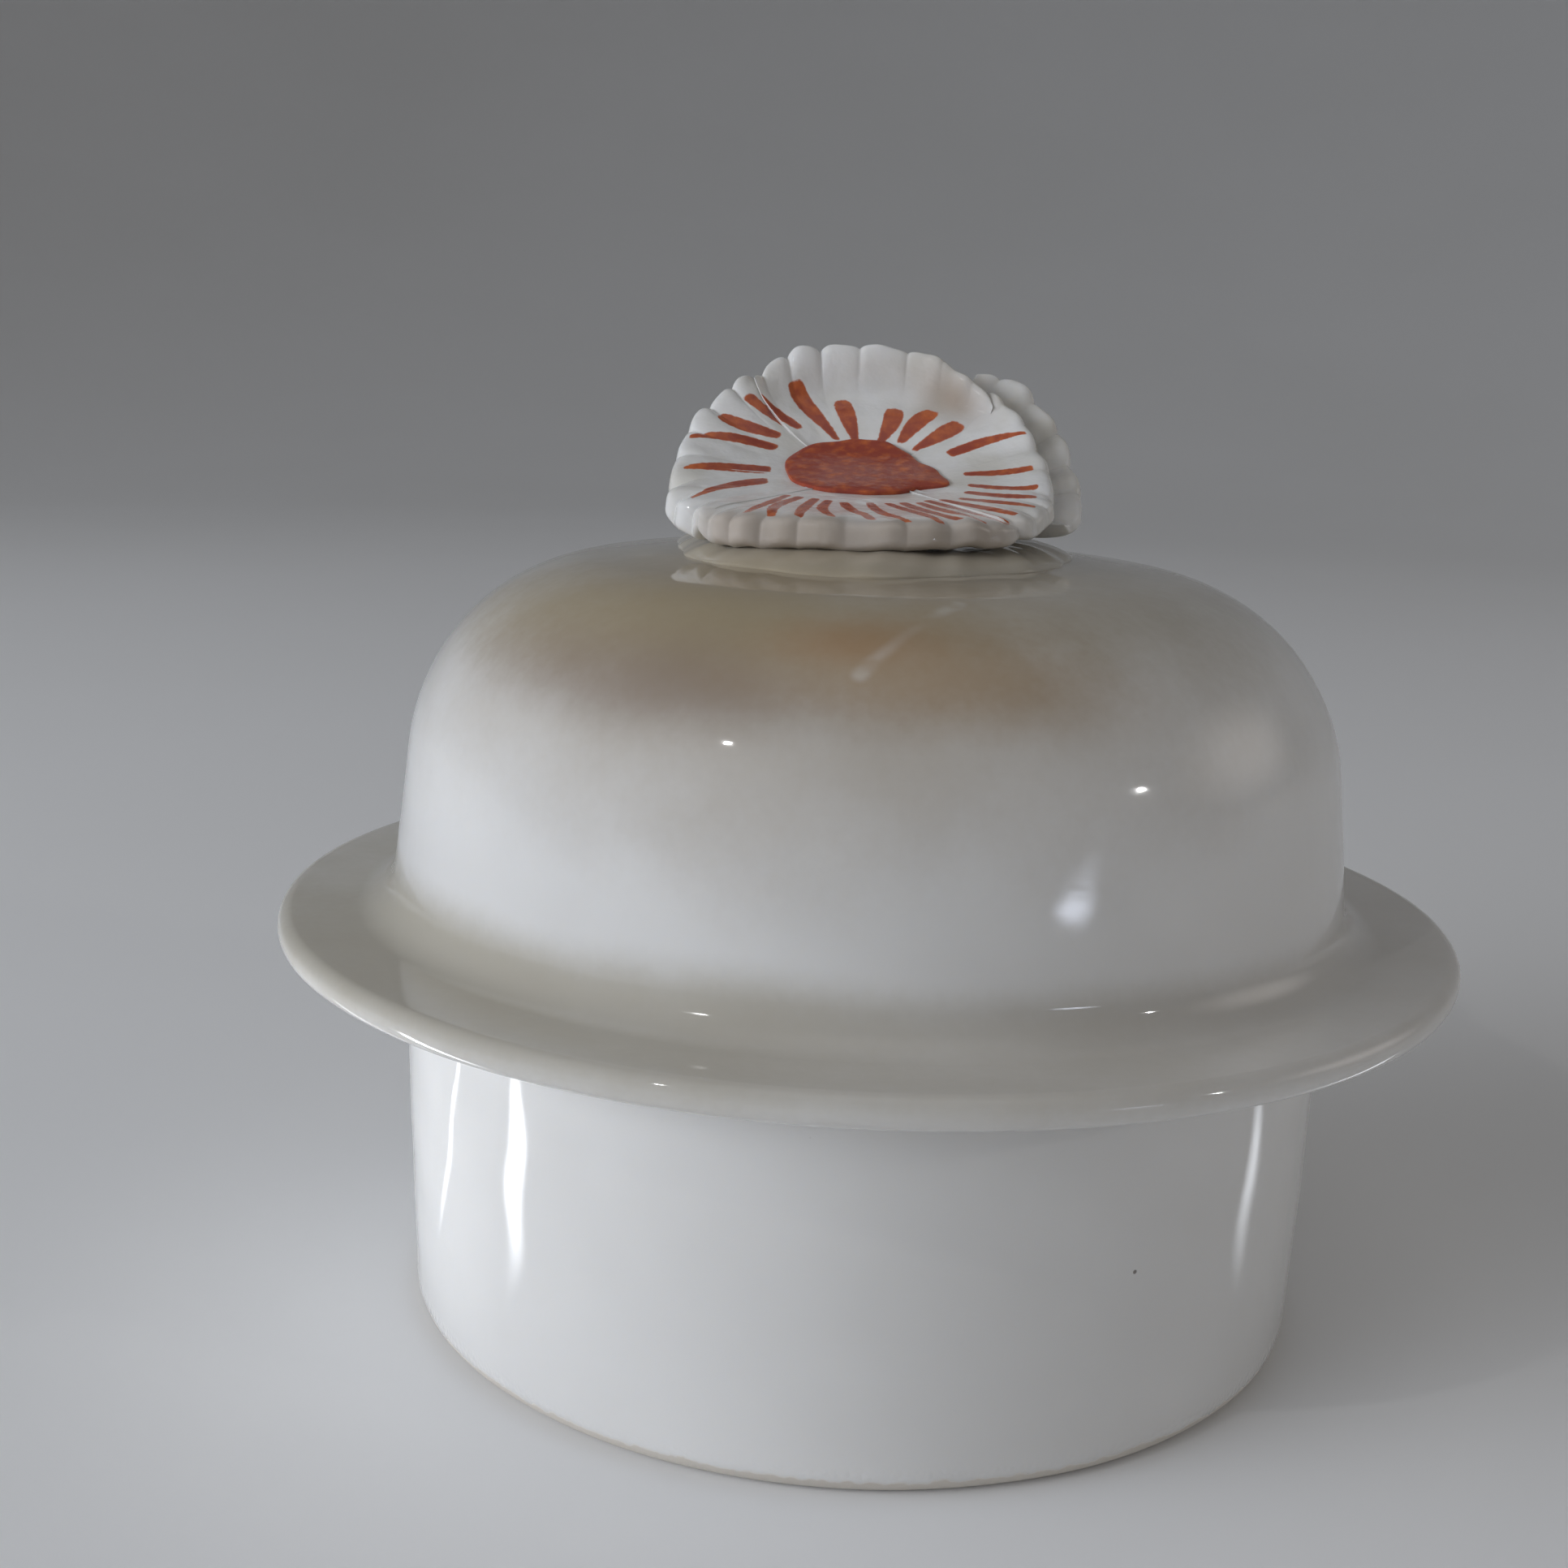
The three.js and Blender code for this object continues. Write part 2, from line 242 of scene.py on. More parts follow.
# %% [markdown]
# ## The lid
#
# One wall makes the dome, the brim and the ledge inside that carries the collar. The shoulder is
# one large arc between a wall that leans in a little and a crown that is almost flat. The inner
# face is the same outline moved in by the wall's thickness. Spheres and cylinders joined by
# Boolean modifiers would leave creases where the real glaze runs over soft fillets.

# %% Lid shell
DOME_WALL = 2.6
DOME_DRAFT = 0.12
DOME_OVERLAP = 1.0
SHOULDER = 14.0
CROWN_FALL = 0.1317
CROWN_FLAT = 13.0
BRIM_THICKNESS = 2.0
BRIM_FILLET = 2.5
BRIM_EDGE = 0.96
LEDGE = 2.4
CROWN_FILLET = 40.0
COLLAR_WALL = 2.2
brim_top = brim_underside + BRIM_THICKNESS
dome_foot = rim_radius + DOME_OVERLAP
ledge_top = brim_underside + LEDGE
collar_inner = collar_radius - COLLAR_WALL


def shoulder_corner(inset):
    """Where the leaning wall and the sloping crown would meet, on the face this far in.

    The wall is radius = foot - draft * rise and the crown is height = top - fall * (radius -
    flat), so the rise at their meeting is found by putting one into the other.
    """
    foot = dome_foot - inset * math.hypot(1, DOME_DRAFT)
    top = crown - inset * math.hypot(1, CROWN_FALL)
    rise = (top - brim_top - CROWN_FALL * (foot - CROWN_FLAT)) / (1 - CROWN_FALL * DOME_DRAFT)
    return foot - DOME_DRAFT * rise, brim_top + rise, SHOULDER - inset


inner_foot = dome_foot - DOME_WALL * math.hypot(1, DOME_DRAFT)
lid_outline = evened(
    rounded([
        (0, crown - DOME_WALL, 0),
        (CROWN_FLAT, crown - DOME_WALL, CROWN_FILLET),
        shoulder_corner(DOME_WALL),
        (inner_foot - DOME_DRAFT * (ledge_top - brim_top), ledge_top, 1.5),
        (collar_inner, ledge_top, 0.6),
        (collar_inner, brim_underside, 0.3),
        (brim_radius, brim_underside, BRIM_EDGE),
        (brim_radius, brim_top, BRIM_EDGE),
        (dome_foot, brim_top, BRIM_FILLET),
        shoulder_corner(0),
        (CROWN_FLAT, crown, CROWN_FILLET),
        (0, crown, 0),
    ], step=4.0),
    spacing=0.75,
)
lid = surface("lid", turned(lid_outline), poles=(True, True))
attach(lid, "lid")
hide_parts("lid_shell")

# %% [markdown]
# ## The collar
#
# A ring luted under the brim. It drops inside the jar's mouth with clearance all round and stops
# the lid from sliding off. It could be drawn into the lid's outline, but the potter makes it
# apart, so it is a closed outline of its own, turned into a ring. The outline starts halfway up
# its inner side, because an end can't be rounded.

# %% Collar
COLLAR_EDGE = 0.7
COLLAR_TAPER = 0.3
COLLAR_LUTED = 0.2
collar_middle = (collar_foot + brim_underside) / 2
collar_top = brim_underside + COLLAR_LUTED
collar_outline = evened(
    rounded([
        (collar_inner, collar_middle, 0),
        (collar_inner, collar_foot, COLLAR_EDGE),
        (collar_radius - COLLAR_TAPER, collar_foot, COLLAR_EDGE),
        (collar_radius, collar_top, 0.1),
        (collar_inner, collar_top, 0.1),
        (collar_inner, collar_middle, 0),
    ]),
    spacing=0.6,
)[:-1]
collar = surface("collar", turned(collar_outline, waver=0.015), loop=True)
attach(collar, "lid")
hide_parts("lid_collar")

# %% [markdown]
# ## The flower's dish
#
# The petals follow one shape: a shallow dish whose floor tilts to the front and whose edge climbs
# steeply at the back. A point on it is named by the angle round the rim and by its share of the
# way from the painted eye to the rim. Near the eye the height follows the tilted floor. Towards
# the rim a power of the share takes over, so that the petals turn up late, as pressed clay does.
# A sculpted flower would look as good, but five strips that share one formula meet without gaps.

# %% Dish
EYE = np.array([-1.1, 0.0])
DISH_CENTRE = np.array([-1.45, -2.0])
HALF_WIDTH, HALF_DEPTH = 12.65, 10.6
SQUARENESS = 2.4
EYE_TILT = 0.287
RIM_CLIMB = 10.4
RIM_RISE = 2.2
BOWL_POWER = 2.5
THICK_ROOT, THICK_RIM = 1.0, 1.8
JOINT_GAP = 0.3
EYE_ABOVE_RIM = 1.8
front_rim = pad_top + JOINT_GAP + THICK_RIM
eye_height = front_rim + EYE_ABOVE_RIM


def signed_power(value, power):
    """The value raised to a power with its sign kept."""
    return np.sign(value) * np.abs(value) ** power


def rim_plan(angle):
    """Superellipse outline of the dish seen from above.

    The cosine and the sine are each raised to 2 / squareness, which fills out the corners.
    """
    x = DISH_CENTRE[0] + HALF_WIDTH * signed_power(np.cos(angle), 2 / SQUARENESS)
    y = DISH_CENTRE[1] + HALF_DEPTH * signed_power(np.sin(angle), 2 / SQUARENESS)
    return x, y


def dish(angle, share):
    """Points of the smooth dish. Height is floor tilt * share + turn-up * share ** 2.5."""
    x, y = rim_plan(angle)
    back = np.clip((y - DISH_CENTRE[1] + HALF_DEPTH) / (2 * HALF_DEPTH), 0, 1)
    rim_height = front_rim + RIM_CLIMB * back ** RIM_RISE
    floor_rise = EYE_TILT * (y - EYE[1])
    turn_up = rim_height - eye_height - floor_rise
    height = eye_height + floor_rise * share + turn_up * np.maximum(share, 0) ** BOWL_POWER
    return np.stack(
        [EYE[0] + share * (x - EYE[0]), EYE[1] + share * (y - EYE[1]), height], -1
    )


def dish_normal(angle, share):
    """Upward unit normal, from small steps along and round the dish."""
    step = 1e-3
    share = np.maximum(share, 0.02)
    out = dish(angle, share + step) - dish(angle, share - step)
    sideways = dish(angle + step, share) - dish(angle - step, share)
    normal = np.cross(out, sideways)
    return normal / np.linalg.norm(normal, axis=-1, keepdims=True)


def smooth(value, low, high):
    """0 below low, 1 above high and an easy S-curve between."""
    t = np.clip((value - low) / (high - low), 0, 1)
    return t * t * (3 - 2 * t)


print("flower's eye at", round(float(eye_height), 2), "mm")

# %% [markdown]
# ## Brush strokes
#
# The flower is painted in iron red with short radial strokes, heavier at the end where the brush
# lands and thin where it lifts. Each stroke is a pair of places on the dish. For every grid point
# the distance to the nearest stroke's edge is worked out in millimetres and kept on the mesh, so
# the material can draw a crisp, slightly ragged edge at any scale. A painted texture would need
# an image, and strokes modelled as geometry would stand up like ribs.

# %% Stroke groups
# Each group of strokes: first and last inner angle, first and last outer angle, inner and outer
# share, half-width in mm, how many, and whether the heavy end is the inner (1) or outer (-1).
STROKE_GROUPS = [
    ((191, 177), (205, 180), 0.50, 0.96, 0.58, 2, 0.9),
    ((149, 149), (165, 165), 0.53, 0.96, 0.52, 1, 0.4),
    ((138, 138), (149, 149), 0.62, 0.94, 0.60, 1, 0),
    ((123, 123), (134, 134), 0.60, 0.92, 0.58, 1, -0.4),
    ((106, 106), (114, 114), 0.50, 0.86, 0.62, 1, -1),
    ((95, 60), (97, 51), 0.46, 0.75, 0.65, 4, -0.9),
    ((35, 35), (24, 24), 0.51, 0.96, 0.50, 1, 1),
    ((6, -30), (6, -20), 0.54, 0.93, 0.38, 4, 0),
    ((318, 226), (324, 238), 0.50, 0.94, 0.42, 11, 0),
]


def strokes():
    """Every stroke: inner angle, outer angle, inner share, outer share, half-width, lean, bow.

    The hand is never exact, so each angle, share and bow wanders a little from its group.
    """
    listed = []
    for (in_a, in_b), (out_a, out_b), inner, outer, half, count, lean in STROKE_GROUPS:
        for t in np.linspace(0, 1, count):
            listed.append((in_a + t * (in_b - in_a), out_a + t * (out_b - out_a),
                           inner, outer, half, lean, 0.0))
    hand = np.random.default_rng(7).uniform(-1, 1, (len(listed), 7))
    return np.array(listed) + hand * [0.8, 1.0, 0.02, 0.03, 0.05, 0.0, 2.0]


STROKES = strokes()
print(len(STROKES), "strokes")

# %% Distance to the paint


def paint_distance(angle, share):
    """Signed distance in mm to the nearest stroke's edge, negative inside the paint, and how far
    along its stroke each point is, from 0 at the eye to 1 at the rim.

    A stroke's middle line is a blend between its two angles as the share grows, bowed a little
    by the hand. Its half-width tapers slowly towards the light end. The distance is that of a
    box with rounded corners: how far aside of its half-width and how far past its end.
    """
    x, y = rim_plan(angle)
    reach = np.hypot(x - EYE[0], y - EYE[1])
    turn = np.linalg.norm(dish(angle + 1e-3, share) - dish(angle - 1e-3, share), axis=-1) / 2e-3
    nearest = np.full(np.shape(angle), 9.0)
    along = np.zeros(np.shape(angle))
    for in_angle, out_angle, inner, outer, half, lean, bow in STROKES:
        t = np.clip((share - inner) / (outer - inner), -0.2, 1.2)
        inside = np.clip(t, 0, 1)
        middle = in_angle + (out_angle - in_angle) * t + bow * np.sin(np.pi * inside)
        aside = np.abs((angle - np.radians(middle) + np.pi) % (2 * np.pi) - np.pi) * turn
        width = half * (0.88 + 0.42 * lean * (1 - 2 * inside))
        width = width * (0.8 + 0.3 * np.sin(np.pi * inside))
        past = (np.abs(share - (inner + outer) / 2) - (outer - inner) / 2) * reach
        corner = 0.6 * width
        beside, beyond = aside - width + corner, past + corner
        distance = np.hypot(np.maximum(beside, 0), np.maximum(beyond, 0)) - corner
        distance = distance + np.minimum(np.maximum(beside, beyond), 0)
        closer = distance < nearest
        nearest = np.where(closer, distance, nearest)
        along = np.where(closer, inside, along)
    return nearest, along


# %% [markdown]
# ## Petals
#
# Each petal is a strip of clay crimped along its edge and wrapped round the core. Its section is a
# flattened loop, thin at the root and about 2 mm at the rim, and the crimps are ridges that deepen
# towards the rim and scallop it. Where two petals meet, one tucks under the other. A flat sheet
# with a Solidify modifier would give the strip, but not the rolled edge, so the whole loop is
# worked out: a grid with the section down its rows and the angle along its columns.

# %% Crimps and lumps
FLUTES = 30


def lumps(angle, share):
    """Uneven clay: three sine waves round the rim, out of step with each other."""
    return (
        np.sin(9 * angle + 2) + np.sin(17 * angle + 6 * share) + 0.7 * np.sin(31 * angle + 9 * share)
    )


# %% One petal


def petal(name, span, root=0.25, rim=1.0, sunk=0.0, tuck=(0.0, 0.0), curl=(0.0, 0.0),
          scallop=(1.0, 1.0), hollow=0.0, drop=(0.0, 0.0), peak=(0.0, 0.0), rows=112):
    """One crimped petal between two angles in degrees.

    sunk lowers it below the dish. At its first and last side, tuck lowers its edge, curl leans
    its rim back over the dish, drop thickens its rim downwards and scallop says how deep the
    crimps are. hollow scoops the face below the lip, and peak raises the rim round one angle by
    a height. Lengths are in millimetres.

    Down the loop the share swings between root and rim as a cosine and the depth between face
    and back as a sine, each with a power that squares the loop off. A crimp is the absolute
    value of a cosine of the angle. The point is the dish's own, moved along its normal.
    """
    columns = int((span[1] - span[0]) * 2.2)
    u = np.linspace(0, 1, columns)[None, :]
    loop = 2 * np.pi * np.linspace(0, 1, rows, endpoint=False)[:, None]
    angle = np.radians(span[0] + (span[1] - span[0]) * u) + 0 * loop
    sideways = np.abs(2 * u - 1)
    rounded_rim = rim * (1 - 0.06 * sideways ** 8)
    share = (rounded_rim + root) / 2 - (rounded_rim - root) / 2 * signed_power(np.cos(loop), 0.8)
    across = -signed_power(np.sin(loop), 0.5)
    on_top = smooth(across, -0.3, 0.3)

    ridge = np.abs(np.cos(FLUTES / 2 * angle + 0.5 * np.sin(3 * angle))) ** 0.7
    depth_of_crimp = scallop[0] + (scallop[1] - scallop[0]) * smooth(u, 0.15, 0.85)
    near_rim = smooth(share, 0.45 + 0.36 * on_top, 1.0)
    crimps = depth_of_crimp * (0.34 * near_rim + 0.05 * smooth(share, 0.4, 0.9)) * (ridge - 0.7)
    share = share + 0.035 * depth_of_crimp * smooth(share, 0.8, 1.0) * (ridge - 0.6)
    share = share + 0.006 * smooth(share, 0.8, 1.0) * lumps(angle, share)

    thickness = (THICK_ROOT + (THICK_RIM - THICK_ROOT) * share) * (1 - 0.9 * sideways ** 14)
    deeper = drop[0] + (drop[1] - drop[0]) * smooth(u, 0.1, 0.9)
    thickness = thickness + deeper * smooth(share, 0.5, 1.0)
    depth = thickness * (across - 1) / 2 + crimps
    depth = depth + 0.05 * smooth(share, 0.6, 1.0) * lumps(angle + 0.4, share)
    depth = depth - hollow * np.exp(-((share - 0.80) / 0.10) ** 2) * (1 - sideways ** 2) * on_top
    edge = sunk + tuck[0] * smooth(1 - u, 0.8, 1.0) + tuck[1] * smooth(u, 0.8, 1.0)
    edge = edge * (0.12 + 0.88 * smooth(share, 0.45, 0.85))
    points = dish(angle, share) + dish_normal(angle, share) * (depth - edge)[..., None]

    x, y = rim_plan(angle)
    outward = np.stack([x - EYE[0], y - EYE[1], 0 * x], -1)
    outward /= np.linalg.norm(outward, axis=-1, keepdims=True)
    late = smooth(share, 0.78, 1.05) ** 1.3
    lean = curl[0] + (curl[1] - curl[0]) * smooth(u, 0.1, 0.9)
    points = points - outward * (lean * late)[..., None]
    points[..., 2] += peak[1] * np.exp(-((np.degrees(angle) - peak[0]) / 9) ** 2) * late
    brush, along = paint_distance(angle, share)
    upper = np.where(across > 0.2, 0.0, 9.0)
    bearing = np.degrees(angle)
    # Painted shade, with glaze pooling: this field darkens the hollow under the back petal's curled
    # lip and the front rim.
    pooled_glaze_and_shade = 0.9 * on_top * np.exp(-((bearing - 60) / 15) ** 2 - ((share - 0.84) / 0.12) ** 2)
    pooled_glaze_and_shade = pooled_glaze_and_shade + 0.75 * smooth(share, 0.86, 1.0) * smooth(-y, 7.5, 11.0)
    made = surface(
        name, points, around=False, loop=True,
        fields={"brush": brush + upper, "along": along, "pooled_glaze_and_shade": pooled_glaze_and_shade},
    )
    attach(made, "lid")
    return made


# %% The five petals
front = petal("petal_front_clay", (-146, -34), tuck=(0.3, 0.3), scallop=(0.5, 0.25),
              drop=(1.1, 0.5))
right = petal("petal_right_clay", (-44, 56), sunk=0.05, tuck=(0.0, 0.7), curl=(0.0, 0.9),
              scallop=(0.3, 0.2), drop=(0.5, 0.2))
back = petal("petal_back_clay", (42, 130), root=0.42, sunk=-0.05, tuck=(0.45, -0.2),
             curl=(1.4, 0.7), scallop=(0.15, 1.0), hollow=0.8, peak=(103, 0.35))
left = petal("petal_left_clay", (116, 222), sunk=0.05, tuck=(1.1, 0.1), curl=(0.4, 0.2),
             drop=(0.0, 1.3))
outer = petal("petal_outer_clay", (-8, 60), root=0.5, rim=1.1, sunk=2.2, scallop=(0.7, 0.7))
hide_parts("petal_front")
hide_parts("petal_right")
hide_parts("petal_back")
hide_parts("petal_left")
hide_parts("petal_outer")

# %% [markdown]
# ## Core
#
# The core is the stub that the petals are wrapped round, seen only from behind. It, the eye and
# the pad are closed lumps. Each could start as a squashed sphere, but here a section is walked
# from the middle of its underside, out to its edge and back over its top, at every angle.

# %% Closed lumps of clay


def polar(name, section, columns=160, rows=60):
    """A closed solid whose section runs from the middle of its underside out and back on top.

    section takes the angle and a number from 0, under the middle, to 1, over it.
    """
    angle = np.linspace(0, 2 * np.pi, columns, endpoint=False)[None, :]
    v = np.linspace(0, 1, rows)[:, None]
    points, fields = section(angle + 0 * v, v + 0 * angle)
    made = surface(name, points, poles=(True, True), fields=fields)
    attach(made, "lid")
    return made


# %% Core
SUNK_IN_PAD = 0.4


def core_section(angle, v):
    """Stub of wrapped clay: foot on the pad, a waist, then a flare up to the petals.

    v walks out under the foot, up the side and in again below the dish, and shallow folds run
    up the side: the distance from the eye is the share times 1 + a small ridged cosine.
    """
    side = smooth(v, 0.25, 0.75)
    waist = 1 - 0.16 * np.sin(np.pi * side) ** 2 + 0.10 * side
    fold = 1 + 0.05 * np.abs(np.cos(7 * angle + 0.6 * np.sin(2 * angle) + 1.2 * side)) ** 0.6
    reach = np.where(v < 0.25, v / 0.25, np.where(v > 0.75, (1 - v) / 0.25, 1.0))
    share = (0.52 + 0.1 * np.sin(angle)) * waist * (1 + (fold - 1) * reach) * reach
    under = dish(angle, share) - 0.7 * dish_normal(angle, share)
    foot = pad_top - SUNK_IN_PAD
    points = under.copy()
    points[..., 2] = foot + (under[..., 2] - foot) * side
    return points, {}


core = polar("flower_core_clay", core_section)
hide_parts("flower_core")

# %% [markdown]
# ## Painted eye
#
# A low lens of clay in the middle of the dish, painted solid red and drawn out to a point on its
# right. Paint alone would look flat, because the real one stands up and catches the light.

# %% Eye
EYE_HALF_WIDTH, EYE_HALF_DEPTH = 5.4, 4.1


def eye_section(angle, v):
    """A low lens on the dish: an oval, drawn out to a point at its right.

    In the plan its edge is 1 / hypot(x / half-width, y / half-depth), and a narrow bell added
    to that radius makes the point.
    """
    x, y = rim_plan(angle)
    reach = np.hypot(x - EYE[0], y - EYE[1])
    dx, dy = (x - EYE[0]) / reach, (y - EYE[1]) / reach
    bearing = np.arctan2(dy, dx)
    radius = 0.97 / np.hypot(dx / EYE_HALF_WIDTH, dy / EYE_HALF_DEPTH)
    radius = radius * (1 + 0.22 * np.exp(-((bearing + 0.33) / 0.20) ** 2))
    radius = radius * (1 - 0.13 * np.exp(-((bearing - 0.45) / 0.40) ** 2))
    radius = radius * (1 + 0.02 * np.sin(5 * bearing + 1) + 0.012 * np.sin(11 * bearing))
    radius = radius - 0.4 * dx
    share = radius / reach * np.sin(np.pi * v)
    bulge = np.where(v < 0.5, -0.3, 0.08 + 0.22 * np.abs(np.cos(np.pi * v)) ** 0.8)
    points = dish(angle, share) + dish_normal(angle, share) * bulge[..., None]
    points[0] = points[0].mean(0)
    points[-1] = points[-1].mean(0)
    return points, {"brush": -0.6 + 0.05 * np.sin(9 * bearing), "along": 0.1, "pooled_glaze_and_shade": 0.0}


eye = polar("flower_eye_clay", eye_section)
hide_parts("flower_centre")

# %% [markdown]
# ## Pad
#
# A flattened disc with a torn edge that sticks the flower to the crown. A Shrinkwrap modifier
# could lay a disc on the lid. Reading the lid's own outline gives the same fit and keeps the
# pad thick in the middle and feathered at its edge.

# %% Pad


def crown_height(radius):
    """Height of the lid's outer face at a radius inside the shoulder."""
    spots = lid_outline[lid_outline[:, 1] > crown - 8]
    spots = spots[len(spots) // 2:]
    order = np.argsort(spots[:, 0])
    return np.interp(radius, spots[order, 0], spots[order, 1])


def pad_section(angle, v):
    """Ragged disc lying on the crown, feathered at its edge.

    Its reach is a radius plus three sine waves of the angle, longer at the front. The section
    goes out and back as a half sine, and the thickness over the crown is an S-curve.
    """
    ragged = np.sin(3 * angle + 0.6) + 0.5 * np.sin(7 * angle) + 0.2 * np.sin(17 * angle + 2)
    reach = 13.2 + 0.42 * ragged + 1.1 * np.maximum(-np.sin(angle), 0)
    out = reach * np.sin(np.pi * v)
    x = -0.7 + out * np.cos(angle)
    y = -1.0 + out * np.sin(angle)
    swell = smooth(np.abs(np.cos(np.pi * v)), 0.0, 0.75)
    over = np.where(v < 0.5, -0.25, 0.02 + 0.2 * np.abs(np.cos(np.pi * v)) ** 0.4 + 0.85 * swell)
    over = over + np.where(v < 0.5, 0, 0.04) * lumps(angle, 0.1 * out) * (out > 4)
    return np.stack([x, y, crown_height(np.hypot(x, y)) + over], -1), {}


pad = polar("finial_pad_clay", pad_section, columns=320)
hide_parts("finial_pad")

# %% [markdown]
# ## Finishes
#
# Glazed porcelain is a white body under a clear coat of glass. Most of its look comes from that
# glass: sharp reflections broken by a faint orange-peel. The body lets a little light through, so
# shadows inside it are soft. Colour comes from what happened in the kiln and in use: a brownish
# bloom under the crown, iron specks, and a bare ring at the foot. On top of that, painted shade
# darkens the brim's top, the crown, the hollow under the back petal's lip and the flower's front
# rim.

# %% Node helpers


class Nodes:
    """A small helper that adds nodes to one material and links them by name."""

    def __init__(self, name):
        self.material = bpy.data.materials.new(name)
        self.material.use_nodes = True
        self.tree = self.material.node_tree
        self.shader = self.tree.nodes["Principled BSDF"]

    def add(self, kind, inputs=None, **settings):
        """Adds a node, sets its properties, then fills or links its inputs."""
        node = self.tree.nodes.new(kind)
        for key, value in settings.items():
            setattr(node, key, value)
        for key, value in (inputs or {}).items():
            self.put(node.inputs[key], value)
        return node

    def put(self, socket, value):
        """Links a socket if it is given one, and sets a plain value otherwise."""
        if isinstance(value, bpy.types.NodeSocket):
            self.tree.links.new(value, socket)
        else:
            socket.default_value = value

    def math(self, operation, a, b=0.0):
        """One step of arithmetic."""
        node = self.add("ShaderNodeMath", {0: a, 1: b}, operation=operation)
        return node.outputs[0]

    def step(self, value, low, high, to_low=0.0, to_high=1.0):
        """A smooth ramp between two values."""
        node = self.add(
            "ShaderNodeMapRange",
            {"Value": value, "From Min": low, "From Max": high,
             "To Min": to_low, "To Max": to_high},
            interpolation_type="SMOOTHSTEP",
        )
        return node.outputs["Result"]

    def mix(self, factor, a, b):
        """Two colours mixed: the first where the factor is 0, the second where it is 1."""
        node = self.add("ShaderNodeMix", data_type="RGBA")
        self.put(node.inputs["Factor"], factor)
        self.put(node.inputs[6], a)
        self.put(node.inputs[7], b)
        return node.outputs[2]

    def noise(self, vector, scale, detail=3.0):
        """Fractal noise, 0 to 1."""
        node = self.add(
            "ShaderNodeTexNoise", {"Vector": vector, "Scale": scale, "Detail": detail}
        )
        return node.outputs["Fac"]


def colour(r, g, b):
    """An opaque colour, as the nodes want it."""
    return (r, g, b, 1.0)


# %% [markdown]
# ### White glaze
#
# One recipe serves the plain glaze of jar and collar and the stain-marked glaze of lid and pad. The
# lid and pad glaze also carries painted shade on the brim's top and the crown. It reads Object
# coordinates, which are the piece's own place in metres, so the stain stays on the lid's front
# shoulder, and the painted shade on its brim and crown, when the lid lifts. The stain and the
# painted shade could be a painted texture, but a few soft patches, each placed by its angle round
# the jar and its height, need no image and no UV map.

# %% Glaze colours, patches and scratches
GLAZE_WHITE = colour(0.78, 0.765, 0.74)
GLAZE_GREY = colour(0.72, 0.705, 0.68)
FOOT_BARE = colour(0.66, 0.61, 0.54)
GLASS_IOR = 1.52
BUMP_DEPTH = 0.4 * MM


def patch(nodes, azimuth, height, wobble, angle, z, wide, tall, soft=0.9):
    """1 inside a soft oval placed by azimuth in degrees and height in mm, 0 well outside it."""
    sideways = nodes.math("DIVIDE", nodes.math("SUBTRACT", azimuth, angle), wide)
    upwards = nodes.math("DIVIDE", nodes.math("SUBTRACT", height, z), tall)
    squares = nodes.math("ADD", nodes.math("MULTIPLY", sideways, sideways),
                         nodes.math("MULTIPLY", upwards, upwards))
    far = nodes.math("ADD", nodes.math("SQRT", squares), wobble)
    return nodes.step(far, 1.0 - soft, 1.0 + soft / 2, 1.0, 0.0)


def scuff(nodes, place, start, end, half):
    """1 on a straight scratch between two points in mm, fading to 0 past half its width.

    The distance to a segment is the length of (p - start) less its clamped part along the way.
    """
    start, end = Vector(start) * MM, Vector(end) * MM
    way = (end - start).normalized()
    length = (end - start).length
    from_start = nodes.add("ShaderNodeVectorMath", {0: place, 1: start}, operation="SUBTRACT")
    along = nodes.add("ShaderNodeVectorMath", {0: from_start.outputs[0], 1: way},
                      operation="DOT_PRODUCT").outputs["Value"]
    along = nodes.math("MAXIMUM", nodes.math("MINIMUM", along, length), 0.0)
    on_line = nodes.add("ShaderNodeVectorMath", {0: way, "Scale": along}, operation="SCALE")
    gap = nodes.add("ShaderNodeVectorMath", {0: from_start.outputs[0], 1: on_line.outputs[0]},
                    operation="DISTANCE").outputs["Value"]
    return nodes.step(gap, 0.1 * half * MM, half * MM, 1.0, 0.0)


# %% White glaze
# The parts of the stain and of the painted shade: azimuth and height of the middle, half-width in
# degrees, half-height in mm, strength and colour. Azimuth 0 is the front, and negative is to its
# left. The first two are painted shade on the brim's top, the third is painted shade over the crown
# with an olive tone, and the rest is the brown bloom.
STAIN_AND_SHADE = [
    (-50, 28.9, 90, 2.6, 0.80, (0.42, 0.38, 0.29)),
    (40, 28.6, 100, 2.2, 0.50, (0.50, 0.46, 0.40)),
    (-4, 52.6, 200, 5.6, 0.85, (0.42, 0.38, 0.30)),
    (-10, 47.4, 62, 10.0, 0.70, (0.40, 0.33, 0.24)),
    (-22, 48.9, 46, 3.4, 0.60, (0.33, 0.25, 0.12)),
    (-24, 46.3, 30, 2.7, 0.60, (0.26, 0.195, 0.155)),
    (-3, 48.9, 12, 1.3, 0.45, (0.36, 0.17, 0.06)),
    (6, 47.4, 22, 2.8, 0.55, (0.34, 0.21, 0.095)),
    (20, 46.2, 16, 2.2, 0.25, (0.38, 0.27, 0.16)),
]


